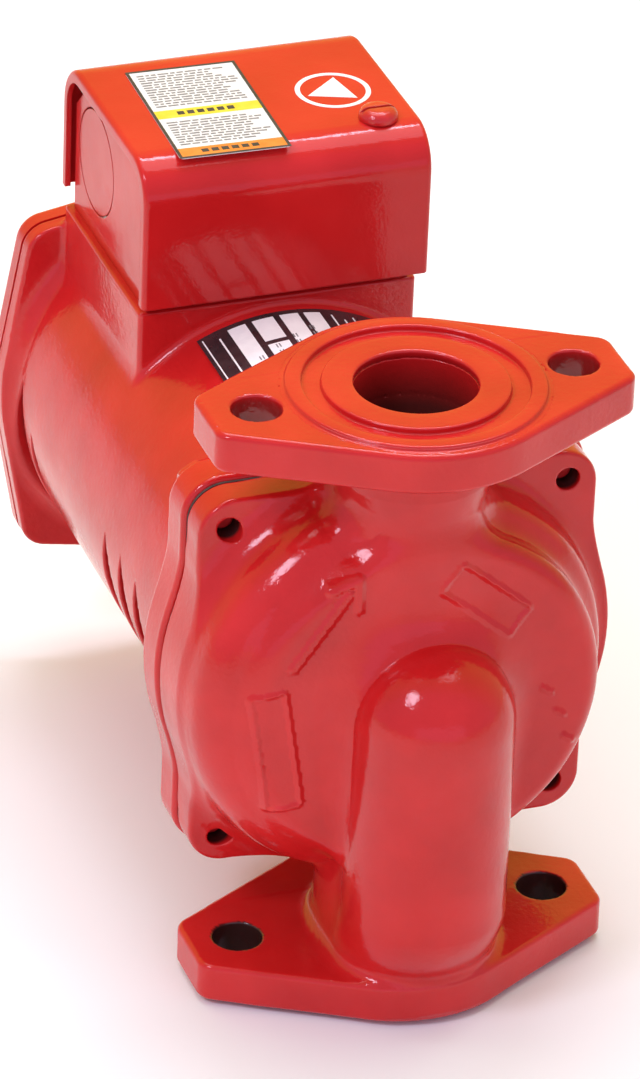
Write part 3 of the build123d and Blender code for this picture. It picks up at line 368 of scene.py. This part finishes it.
def shell(name, field, low, high, step, seed, keep_exact, painted_shade):
    """Mesh of the zero surface of a field given in millimetres, with its true normals."""
    axes = [np.arange(a, b + step, step, dtype=np.float32) for a, b in zip(low, high)]
    values = field(axes[0][:, None, None], axes[1][None, :, None], axes[2][None, None, :])
    values = np.ascontiguousarray(np.broadcast_to(values, [len(a) for a in axes]), np.float32)
    grid = openvdb.FloatGrid(3 * step)
    grid.copyFromArray(np.clip(values, -3 * step, 3 * step))
    points, quads = grid.convertToQuads(0.0)
    p = points.astype(np.float32) * step + np.array([a[0] for a in axes], np.float32)

    def value(q):
        plain = field(q[:, 0], q[:, 1], q[:, 2])
        calm = keep_exact(q[:, 0], q[:, 1], q[:, 2])
        return plain + (1 - calm) * (0.1 + cast_wobble(q, seed))

    def gradient(q, h=0.04):
        sides = []
        for axis in range(3):
            shift = np.zeros(3, np.float32)
            shift[axis] = h
            sides.append((value(q + shift) - value(q - shift)) / (2 * h))
        return np.stack(sides, 1)

    for _ in range(4):
        g = gradient(p)
        size = np.maximum((g * g).sum(1), 0.3)
        p -= (np.clip(value(p), -0.5 * step, 0.5 * step) / size)[:, None] * g
    g = gradient(p, 0.06)
    g /= np.maximum(np.linalg.norm(g, axis=1), 1e-6)[:, None]
    a, b, c, d = (p[quads[:, i]] for i in range(4))
    facing = (np.cross(c - a, d - b) * g[quads[:, 0]]).sum()
    if facing < 0:
        quads = quads[:, ::-1]
    data = bpy.data.meshes.new(name)
    data.vertices.add(len(p))
    data.vertices.foreach_set("co", (p * MM).ravel())
    data.loops.add(quads.size)
    data.loops.foreach_set("vertex_index", quads.astype(np.int32).ravel())
    data.polygons.add(len(quads))
    data.polygons.foreach_set("loop_start", np.arange(0, quads.size, 4, dtype=np.int32))
    data.update()
    data.validate()
    data.shade_smooth()
    data.normals_split_custom_set_from_vertices(g.tolist())
    # Painted shade: how much each point is darkened, kept as a mesh attribute.
    mask = data.attributes.new("painted_shade", "FLOAT", "POINT")
    amount = np.clip(painted_shade(p[:, 0], p[:, 1], p[:, 2]), 0, 1)
    mask.data.foreach_set("value", amount.astype(np.float32))
    obj = bpy.data.objects.new(name, data)
    bpy.context.scene.collection.objects.link(obj)
    print(name, len(p), "points")
    return obj


# ------------------------------------------------------------------ pump body
def flange_plate(x, y, z, low, high):
    """Two-bolt pipe flange: a circle drawn out to a blunt tip on each side."""
    return prism(four_way(x, y, 48.0, 7.0, 34.5, 5.0), low, high, z, 1.5)


def stroke(u, v, start, end, half_width):
    """Straight stroke with round ends."""
    du, dv = end[0] - start[0], end[1] - start[1]
    t = np.clip(((u - start[0]) * du + (v - start[1]) * dv) / (du * du + dv * dv), 0, 1)
    return np.hypot(u - start[0] - t * du, v - start[1] - t * dv) - half_width


def blank_frame(u, v, centre, half, turn):
    """Outline of an empty cast pad."""
    c, s = math.cos(math.radians(turn)), math.sin(math.radians(turn))
    a = (u - centre[0]) * c + (v - centre[1]) * s
    b = (v - centre[1]) * c - (u - centre[0]) * s
    return np.abs(box2(a, b, half[0], half[1], 1.0)) - 0.55


def casting_marks(x, h):
    """Flow arrow, two empty pads and three short dashes on the front of the volute."""
    tip = (-18.5, 38.5)
    marks = stroke(x, h, (-34.5, 16.5), (-21.0, 35.0), 1.25)
    marks = np.minimum(marks, stroke(x, h, tip, (-25.4, 36.3), 1.2))
    marks = np.minimum(marks, stroke(x, h, tip, (-18.4, 30.6), 1.2))
    marks = np.minimum(marks, blank_frame(x, h, (-38.0, -6.5), (4.3, 16.5), 9.0))
    marks = np.minimum(marks, blank_frame(x, h, (13.8, 28.5), (12.0, 4.3), -40.0))
    for mark_x, mark_h in ((31.0, -0.6), (34.7, -7.6), (37.3, -15.4)):
        start, end = (mark_x - 1, mark_h + 1), (mark_x + 1.4, mark_h - 0.6)
        marks = np.minimum(marks, stroke(x, h, start, end, 0.6))
    return marks


def volute(x, y, h):
    """Scroll with a flat front face and the four screw ears behind it."""
    ears = prism(casing_shape(x, h, 0.0), 6.6, 16.0, y, 1.4)
    t = np.clip((6.6 - y) / 17.1, -0.4, 1.3)
    bulge = 3.2 * t * np.clip(x / 45, 0, 1)
    side = (np.hypot(x - bulge + 2.5 + 1.5 * t, h + 1 - t) - (54.8 - 3.8 * t)) * 0.97
    front = (0.115 * (x + 4) - (y + 10.5)) / 1.0066
    scroll = np.maximum(meet(side, front, 8.5 - 3.5 * np.clip(x / 40, -1, 1)), y - 14)
    face = np.maximum(meet(np.hypot(x, h) - 46.0, -17 - y, 5.0), y - 14)
    body = join(join(scroll, face, 3.0), ears, 5.5 - 2.5 * np.clip(x / 40, -1, 1))
    return meet(body, casing_shape(x, h, 0.0) * np.ones_like(y), 1.0)


def suction_elbow(x, y, z, h):
    """Upright tube that bends back to the pipe line below and ends in a dome with a hood above."""
    low_part = np.clip((28 - z) / 16.5, 0, 1)
    axis_y = ELBOW_Y + 9.2 * low_part ** 1.5
    tube = (np.hypot(x, y - axis_y) - ELBOW_R) * (1 - 0.25 * low_part)
    tube = np.maximum(np.maximum(tube, z - SHAFT_Z), 5 - z)
    dome = np.sqrt(x * x + (y - ELBOW_Y) ** 2 + h * h) - ELBOW_R
    hood = np.clip((y - ELBOW_Y) / 6.5, 0, 1) ** 1.15 * np.clip(1 + h / 42, 0, 1)
    branch = (np.hypot(x, np.maximum(h, 0)) - (ELBOW_R + 7.4 * hood)) * 0.8
    branch = np.maximum(np.maximum(np.maximum(branch, ELBOW_Y - y), y + 10), -42 - h)
    return np.minimum(np.minimum(tube, dome), branch)


def water_ways(x, y, z, h):
    """The way through the pump: suction tube and bend, impeller eye, chamber and outlet."""
    rise = np.clip((z - 8) / 19.0, 0, 1)
    slope = 1 - 0.25 * (rise < 1) * (rise > 0)
    inlet = (np.hypot(x, y + 22 * rise) - (PORT_R - rise)) * slope
    inlet = np.maximum(np.maximum(inlet, z - SHAFT_Z), 7.5 - z)
    bend = np.sqrt(x * x + (y + 22) ** 2 + h * h) - 14.0
    eye = np.maximum(np.hypot(x, h) - 13.5, np.abs(y + 15) - 7.5)
    eye_ring = np.maximum(np.hypot(x, h) - 17.2, np.abs(y + 9.8) - 2.2)
    outlet = np.hypot(x, y) - (12 + (PORT_R - 12) * np.clip((h - 50) / 18.95, 0, 1))
    outlet = np.maximum(np.maximum(outlet, -h), z - 150.4)
    widen = np.clip((y + 8) / 11.0, 0, 1)
    chamber = np.maximum(np.hypot(x, h) - (37 + 9 * widen), np.maximum(-8 - y, y - 17)) * 0.8
    register = np.maximum(np.hypot(x, h) - 48.0, np.maximum(12.6 - y, y - 17))
    return inlet, bend, eye, eye_ring, outlet, chamber, register


def pump_body_field(x, y, z):
    h = z - SHAFT_Z
    body = volute(x, y, h)
    # discharge neck
    reach = np.clip((h - 36) / 22.5, 0, 1)
    neck = (np.hypot(x, y) - (15.5 + 4 * reach)) * 0.985
    body = join(body, meet(meet(neck, 20 - h, 1.0), z - 155, 1.0), 7.0)
    body = join(body, suction_elbow(x, y, z, h), 3.2 + 3.0 * np.clip(h / 20, 0, 1))
    # raised marks on the front
    body = body - 0.75 * np.clip(0.5 - casting_marks(x, h) / 1.2, 0, 1) * (y < -9)
    # lower neck on the pipe line
    body = join(body, np.maximum(np.maximum(np.hypot(x, y) - 19.5, z - 40), 5 - z), 5.0)
    # motor side kept flat between the flanges
    behind = np.maximum(np.maximum(16 - y, 17.5 - z), z - 139.5)
    body = cut(body, behind, 1.2)
    body = join(body, flange_plate(x, y, z, 1.0, 11.5), 4.0)
    body = join(body, flange_plate(x, y, z, FACE - 11.5, FACE - 1.0), 3.5)
    # holes through the flanges, and seats for the gasket lands
    bolt = np.hypot(np.abs(x) - FLANGE_BOLT, y) - FLANGE_BOLT_R
    body = cut(body, np.maximum(bolt, 66.0 - np.abs(h)), 0.7)
    pad_seat = np.maximum(np.hypot(x, y) - 32.2, np.minimum(z - 2.0, FACE - 2.0 - z))
    body = cut(body, pad_seat, 0.15)
    port = np.hypot(x, y) - PORT_R
    body = cut(body, np.maximum(port, np.minimum(z - 8.0, 149.9 - z)), 0.3)
    for hollow in water_ways(x, y, z, h):
        body = cut(body, hollow, 0.3)
    screw = ear_holes(x, h, EAR, 2.9)
    return cut(body, np.maximum(screw, np.maximum(5 - y, y - 17)), 0.5)


def pump_body_calm(x, y, z):
    """1 where the casting is machined and has no uneven skin: joint face, lands and ports."""
    h = z - SHAFT_Z
    joint = np.clip((y - 14.5) / 1.0, 0, 1)
    lands = np.clip((np.abs(h) - 79.6) / 0.4, 0, 1)
    bore = np.clip(16.2 - np.hypot(x, y), 0, 1) * (np.abs(h) > 21)
    return np.clip(joint + lands + bore, 0, 1)


def pump_body_painted_shade(x, y, z):
    """Painted shade: 1 on the walls of the bottom flange's bolt holes and the screw holes, less in
    the top flange's bolt holes, and rising down the pipe bores.
    """
    h = z - SHAFT_Z
    depth = 80.9 - np.abs(h)
    bolt = (np.hypot(np.abs(x) - FLANGE_BOLT, y) < FLANGE_BOLT_R + 0.5) * (depth < 13)
    bolt = bolt * np.clip((depth - 1.2) / 1.5, 0, 1) * np.where(h > 0, 0.35 + 0.04 * depth, 1.0)
    screw = (ear_holes(x, h, EAR, 3.2) < 0) * np.clip((y - 7.2) / 1.0, 0, 1)
    bore = (np.hypot(x, y) < PORT_R + 0.2) * np.clip((depth - 2) / 14.0, 0, 0.9)
    return np.maximum(np.maximum(bolt, screw), bore)


pump_body = shell("pump_casting", pump_body_field, (-59, -44, -1.5), (59, 37, 163.5), FINE, 11,
                  pump_body_calm, pump_body_painted_shade)
dress(pump_body, MATERIALS["red_casting"], "pump", "red_casting", "pump_body")


# ------------------------------------------------------------------ motor housing
# Cooling slots, each on both sides of the barrel: place along the shaft, half length, half width
SLOTS = [(55.4, 22.0, 3.8), (67.4, 22.0, 3.8), (79.6, 22.0, 3.8), (141.0, 17.0, 3.1),
         (150.0, 27.0, 4.3)]
SLOT_ANGLES = (-25.0, 205.0)


def slot_field(x, y, h, angle, at_y, half_length, half_width):
    """Slot through the barrel wall, pointed at both ends."""
    c, s = math.cos(math.radians(angle)), math.sin(math.radians(angle))
    out = x * c + h * s
    round_way = h * c - x * s
    bow = (half_length ** 2 - half_width ** 2) / (2 * half_width)
    lens = np.hypot(round_way, np.abs(y - at_y) + bow) - (bow + half_width)
    return np.maximum(lens, 37 - out)


def motor_housing_field(x, y, z):
    h = z - SHAFT_Z
    r = np.hypot(x, h)
    barrel = prism(r - BARREL_R, 24.0, 159.0, y, 0.5)
    bracket = prism(casing_shape(x, h, -0.5), 16.8, 27.8, y, 1.6)
    body = join(barrel, bracket, 3.5)
    rear_outline = four_way(x, h, REAR_EAR, REAR_EAR, 53.5, 7.5)
    rear = prism(rear_outline, 156.0, 161.0, y, 1.0)
    body = np.maximum(join(body, rear, 5.5), rear_outline - 60 * (y < 60))
    pedestal = prism(box2(x, y - 127.1, 36.8, 30.6, 1.5), SHAFT_Z + 20, 134.0, z, 0.9)
    body = join(body, pedestal, 2.0)
    spigot = np.maximum(r - 47.8, np.maximum(13.2 - y, y - 20))
    body = np.minimum(body, spigot)
    body = cut(body, np.maximum(r - 46.0, 29.8 - y), 0.4)
    boss = np.maximum(r - 20.0, np.maximum(27.8 - y, y - 54))
    body = np.minimum(body, boss)
    body = cut(body, np.maximum(r - 16.0, 44 - y), 0.3)
    body = cut(body, np.maximum(r - 13.0, np.maximum(25 - y, y - 45)), 0.3)
    body = cut(body, np.maximum(r - 13.0, y - 22), 0.3)
    body = cut(body, np.maximum(r - 8.0, y - 26), 0.3)
    for at_y, half_length, half_width in SLOTS:
        for angle in SLOT_ANGLES:
            body = cut(body, slot_field(x, y, h, angle, at_y, half_length, half_width), 0.7)
    bolt = ear_holes(x, h, EAR, 3.4)
    body = cut(body, np.maximum(bolt, y - 30), 0.4)
    rear_bolt = ear_holes(x, h, REAR_EAR, 2.2)
    body = cut(body, np.maximum(rear_bolt, 157.7 - y), 0.2)
    lead = np.hypot(x + 18, y - 137) - 6.0
    body = cut(body, np.maximum(lead, 100 - z), 0.3)
    box_screw = np.hypot(np.abs(x) - 24, y - 148) - 2.0
    return cut(body, np.maximum(box_screw, 126 - z), 0.2)


def motor_housing_calm(x, y, z):
    """1 on the joint faces, inside the barrel and on top of the pedestal."""
    r = np.hypot(x, z - SHAFT_Z)
    machined = np.maximum(np.clip((18.5 - y) / 1.0, 0, 1), np.clip((y - 159.5) / 1.0, 0, 1))
    inside = np.clip((48.0 - r) / 1.0, 0, 1)
    top = np.clip((z - 133.0) / 0.6, 0, 1)
    return np.clip(machined + inside + top, 0, 1)


def motor_housing_painted_shade(x, y, z):
    """Painted shade inside the motor barrel, so it shows dark through the cooling slots."""
    return 0.75 * np.clip((49.3 - np.hypot(x, z - SHAFT_Z)) / 1.5, 0, 1) * (y > 29)


housing = shell("motor_casting", motor_housing_field, (-59, 12, 21.5), (59, 163, 136), FINE * 1.1,
                23, motor_housing_calm, motor_housing_painted_shade)
dress(housing, MATERIALS["red_casting"], "pump", "red_casting", "motor_housing")


# ------------------------------------------------------------------ machined gasket faces
def lathe(name, profile, segments=160):
    """Ring swept from a closed profile of (radius, height) in millimetres about the pipe line."""
    points, faces = [], []
    for i in range(segments):
        a = 2 * math.pi * i / segments
        points += [(r * math.cos(a) * MM, r * math.sin(a) * MM, z * MM) for r, z in profile]
    n = len(profile)
    for i in range(segments):
        j = (i + 1) % segments
        for k in range(n):
            m = (k + 1) % n
            faces.append((i * n + k, j * n + k, j * n + m, i * n + m))
    return mesh_object(name, points, faces)


def arc(cr, cz, radius, start, end, steps=4):
    angles = [math.radians(start + (end - start) * i / steps) for i in range(steps + 1)]
    return [(cr + radius * math.cos(a), cz + radius * math.sin(a)) for a in angles]


PAD_PROFILE = ([(15.2, -2.6)] + arc(15.7, -0.7, 0.7, 180, 90) + [(18.0, 0), (21.0, 0)]
               + arc(22.2, -0.5, 0.5, 90, 0) + arc(23.2, -1.1, 0.5, 180, 270) + [(25.0, -1.6)]
               + arc(26.9, -1.1, 0.5, 270, 360) + arc(27.9, -0.5, 0.5, 180, 90) + [(29.0, 0)]
               + arc(30.8, -0.6, 0.6, 90, 0) + arc(32.1, -0.4, 0.7, 180, 270)
               + [(32.9, -1.12), (33.2, -1.4), (32.6, -2.6)])
for pad_name, face_z, flip in (("discharge_gasket_land", FACE, 1),
                               ("suction_gasket_land", 0.0, -1)):
    rim = [(r, face_z + flip * z) for r, z in PAD_PROFILE]
    pad = lathe(pad_name, rim[::-1] if flip > 0 else rim)
    dress(pad, MATERIALS["red_casting"], "pump", "red_casting")


# ------------------------------------------------------------------ printed details
def slabs(name, rects, place, columns=1):
    """Thin raised patches; place(u, v, w) gives a point at w, 0 or 1, of the patch's thickness."""
    points, faces = [], []
    for u0, v0, u1, v1 in rects:
        base = len(points)
        for i in range(columns + 1):
            u = u0 + (u1 - u0) * i / columns
            points += [place(u, v0, 0.0), place(u, v0, 1.0), place(u, v1, 1.0), place(u, v1, 0.0)]
        for i in range(columns):
            a, b = base + 4 * i, base + 4 * i + 4
            faces += [(a + k, b + k, b + k + 1, a + k + 1) for k in range(3)]
        faces += [tuple(base + k for k in (3, 2, 1, 0)),
                  tuple(base + 4 * columns + k for k in range(4))]
    return mesh_object(name, [[c * MM for c in p] for p in points], faces, smooth=False)


LABEL_MID, LABEL_TURN = (-11.3, 122.3), math.radians(-1.5)
LABEL_HALF = (14.4, 24.0)


def on_label(lift):
    """Places prints lift above the label, u across it and v along it from its middle."""
    def place(u, v, w):
        c, s = math.cos(LABEL_TURN), math.sin(LABEL_TURN)
        return (LABEL_MID[0] + u * c - v * s, LABEL_MID[1] + u * s + v * c,
                LABEL_TOP + w * lift)
    return place


def label_lines(seed):
    """Rows of plain grey bars, as a block of small print seen from too far away to read."""
    rng = np.random.default_rng(seed)
    left, right, bar_height, pitch, gap = -12.2, 12.4, 0.66, 1.32, 0.5
    bars = []
    for low, high in ((-18.0, -4.3), (2.8, 21.5)):
        v = low + 0.8
        while v < high - 0.6:
            u = left
            stop = 11.8 - rng.uniform(0, 6)
            while u < stop:
                size = rng.uniform(0.9, 3.0)
                bars.append((u, v, min(u + size, right), v + bar_height))
                u += size + gap
            v += pitch
    return bars


def band_marks(low, high):
    """Row of six plain blocks on a coloured band."""
    return [(-8 + 2.6 * i, low, -6.2 + 2.6 * i, high) for i in range(6)]


def label_border(half_u, half_v, rim):
    """Four strips round the label's edge."""
    return [(-half_u, -half_v, half_u, -half_v + rim), (-half_u, half_v - rim, half_u, half_v),
            (-half_u, -half_v + rim, -half_u + rim, half_v - rim),
            (half_u - rim, -half_v + rim, half_u, half_v - rim)]


# name, patches, height over the label, ink
FLAT_PRINTS = [
    ("label_border", label_border(*LABEL_HALF, 0.8), 0.08, "ink_dark"),
    ("label_orange_strip", [(-13.6, -23.2, 13.6, -18.9)], 0.06, "ink_orange"),
    ("label_yellow_band", [(-13.6, -2.6, 13.6, 1.7)], 0.06, "ink_yellow"),
    ("label_band_marks", band_marks(-1.3, 0.5) + band_marks(-21.9, -20.2), 0.09, "ink_dark"),
    ("label_print", label_lines(5), 0.06, "ink_grey"),
]
for print_name, rects, lift, ink in FLAT_PRINTS:
    dress(slabs(print_name, rects, on_label(lift)), INK[ink], "cover", "printed_label")


def pump_symbol():
    """Plain drafting symbol for a pump: a ring with a triangle, as a thin white print."""
    made = bmesh.new()
    mid, z0, z1 = (22.5, 124.0), COVER_TOP - 0.01, COVER_TOP + 0.07
    count = 72

    def point(radius, angle, z):
        x, y = mid[0] + radius * math.cos(angle), mid[1] + radius * math.sin(angle)
        return made.verts.new((x * MM, y * MM, z * MM))

    def ring_of(radius, z):
        return [point(radius, 2 * math.pi * i / count, z) for i in range(count)]

    loops = [ring_of(9.6, z0), ring_of(9.6, z1), ring_of(8.3, z1), ring_of(8.3, z0)]
    for outer, inner in zip(loops, loops[1:]):
        for i in range(count):
            j = (i + 1) % count
            made.faces.new((outer[i], outer[j], inner[j], inner[i]))
    low, high = [[point(7.2, math.radians(a), z) for a in (70, 190, 310)] for z in (z0, z1)]
    made.faces.new(high)
    for i in range(3):
        j = (i + 1) % 3
        made.faces.new((low[i], low[j], high[j], high[i]))
    data = bpy.data.meshes.new("cover_symbol")
    made.to_mesh(data)
    obj = bpy.data.objects.new("cover_symbol", data)
    bpy.context.scene.collection.objects.link(obj)
    return obj


dress(pump_symbol(), INK["ink_white"], "cover", "printed_label")


def on_barrel(lift):
    """Places prints lift above the nameplate, by angle about the shaft and place along it."""
    def place(angle, y, w):
        r = PLATE_R + w * lift
        a = math.radians(angle)
        return (r * math.cos(a), y, SHAFT_Z + r * math.sin(a))
    return place


# Patches of the nameplate: angle from, along from, angle to, along to
PLATE_BOXES = [(107.6, 54, 102.2, 91), (100.2, 54, 93.9, 78.6), (100.2, 80.4, 93.9, 91),
               (92.0, 54, 86.5, 91), (84.8, 54, 79.8, 91)]
dress(slabs("nameplate_boxes", PLATE_BOXES, on_barrel(0.1), 6), INK["ink_white"], "pump",
      "nameplate")
PLATE_LINES = [(104.4 - 6.2 * k - 0.9 * n, 70 + 3.1 * i, 104.0 - 6.2 * k - 0.9 * n, 71.8 + 3.1 * i)
               for k in range(4) for n in range(2) for i in range(2 + k)]
dress(slabs("nameplate_print", PLATE_LINES, on_barrel(0.14), 1), INK["ink_grey"], "pump",
      "nameplate")
PLATE_WHITE = [(115.4, 54, 115.0, 91.6), (111.0, 56, 110.5, 89), (76.8, 56, 76.3, 90),
               (73.4, 56, 72.9, 88), (70.0, 56, 69.5, 90), (66.6, 56, 66.1, 86)]
dress(slabs("nameplate_rules", PLATE_WHITE, on_barrel(0.1), 2), INK["ink_white"], "pump",
      "nameplate")


# ------------------------------------------------------------------ hexagon screws
def hex_screws(name, places, head_y, head_h, flats, shank_r, tip_y, count=48, washer=0.6):
    """Hexagon-head screws along the shaft: chamfered head, washer face and a round shank."""
    points, faces = [], []
    half = flats / 2
    top = head_y + head_h
    # place along the shaft, radius, and whether the hexagon's flats limit it
    rows = [(tip_y, shank_r - 0.6, False), (tip_y + 0.6, shank_r, False), (head_y, shank_r, False),
            (head_y, half * 0.97, False), (head_y + washer, half * 0.97, False),
            (head_y + washer, half * 1.16, True), (head_y + head_h * 0.72, half * 1.16, True),
            (head_y + head_h * 0.86, half * 1.07, True), (top, half * 0.93, True),
            (top, half * 0.86, False), (top - 0.25, half * 0.78, False)]
    for x, h in places:
        base = len(points)
        for y, radius, hexed in rows:
            for i in range(count):
                a = 2 * math.pi * i / count
                fold = (a + math.pi / 6) % (math.pi / 3) - math.pi / 6
                r = min(radius, half / math.cos(fold)) if hexed else radius
                points.append(((x + r * math.cos(a)) * MM, y * MM,
                               (SHAFT_Z + h + r * math.sin(a)) * MM))
        for k in range(len(rows) - 1):
            for i in range(count):
                j = (i + 1) % count
                a, b = base + k * count, base + (k + 1) * count
                faces.append((a + i, b + i, b + j, a + j))
        faces.append(tuple(base + i for i in range(count)))
        last = base + (len(rows) - 1) * count
        faces.append(tuple(last + i for i in reversed(range(count))))
    return mesh_object(name, points, faces, smooth=False)


def corners(half):
    """Four places round the shaft, half away from it along X and along Z."""
    return [(a * half, b * half) for a in (-1, 1) for b in (-1, 1)]


dress(hex_screws("casing_screws", corners(EAR), head_y=27.8, head_h=4.2, flats=10.0, shank_r=2.8,
                 tip_y=11.5),
      MATERIALS["painted_screw"], "pump", "painted_screw", "body_screws")
dress(hex_screws("cover_plate_screws", corners(REAR_EAR), head_y=167.8, head_h=3.6, flats=8.0,
                 shank_r=2.1, tip_y=158.0),
      MATERIALS["painted_screw"], "pump", "painted_screw", "rear_cover_screws")


# ------------------------------------------------------------------ floor and light
floor_mesh = bmesh.new()
bmesh.ops.create_grid(floor_mesh, x_segments=8, y_segments=8, size=6)
floor_data = bpy.data.meshes.new("floor")
floor_mesh.to_mesh(floor_data)
floor = bpy.data.objects.new("floor", floor_data)
bpy.context.scene.collection.objects.link(floor)
floor.location.z = -0.0002
floor_data.materials.append(surface("floor", [(0.89, 0.95, 0.985), (0.91, 0.96, 0.99)],
                                    (0.7, 0.8), 2, specular=0.05))


def soft_light(name, place, target, size, power, colour):
    data = bpy.data.lights.new(name, "AREA")
    data.shape = "RECTANGLE"
    data.size, data.size_y = size
    data.energy = power
    data.color = colour
    obj = bpy.data.objects.new(name, data)
    bpy.context.scene.collection.objects.link(obj)
    obj.location = place
    obj.rotation_mode = "QUATERNION"
    obj.rotation_quaternion = (Vector(target) - Vector(place)).to_track_quat("-Z", "Y")


AIM = (0, 0.05, 0.08)
soft_light("top_light", (0.12, 0.36, 1.6), AIM, (1.5, 1.0), 11, (0.94, 0.97, 1.14))
soft_light("strip_light", (0.2, 0.68, 1.4), AIM, (0.7, 0.11), 5, (0.96, 0.9, 1.15))
soft_light("left_light", (-1.0, -0.42, 1.25), AIM, (0.36, 0.42), 7, (1.0, 0.90, 1.1))
soft_light("front_light", (-0.3, -1.9, 0.2), AIM, (2.6, 0.9), 4, (1.0, 0.5, 0.9))


def studio_surround():
    """Light from all round: a warm card above and behind the pump, cool white elsewhere."""
    world = bpy.data.worlds.new("world")
    world.use_nodes = True
    tree = world.node_tree
    coord = tree.nodes.new("ShaderNodeTexCoord")
    lean = tree.nodes.new("ShaderNodeVectorMath")
    lean.operation = "DOT_PRODUCT"
    lean.inputs[1].default_value = (0.25, 0.83, 0.5)
    tree.links.new(coord.outputs["Generated"], lean.inputs[0])
    colour = ramp(tree, lean.outputs["Value"],
                  [(0.0, (0.62, 0.57, 0.72)), (0.3, (0.66, 0.58, 0.42)),
                   (0.75, (0.90, 0.74, 0.20)), (1.0, (1.0, 0.8, 0.14))])
    tree.links.new(colour, tree.nodes["Background"].inputs["Color"])
    tree.nodes["Background"].inputs["Strength"].default_value = 1.0
    bpy.context.scene.world = world


studio_surround()
bpy.context.scene.view_settings.view_transform = "Standard"
bpy.context.scene.view_settings.look = "None"
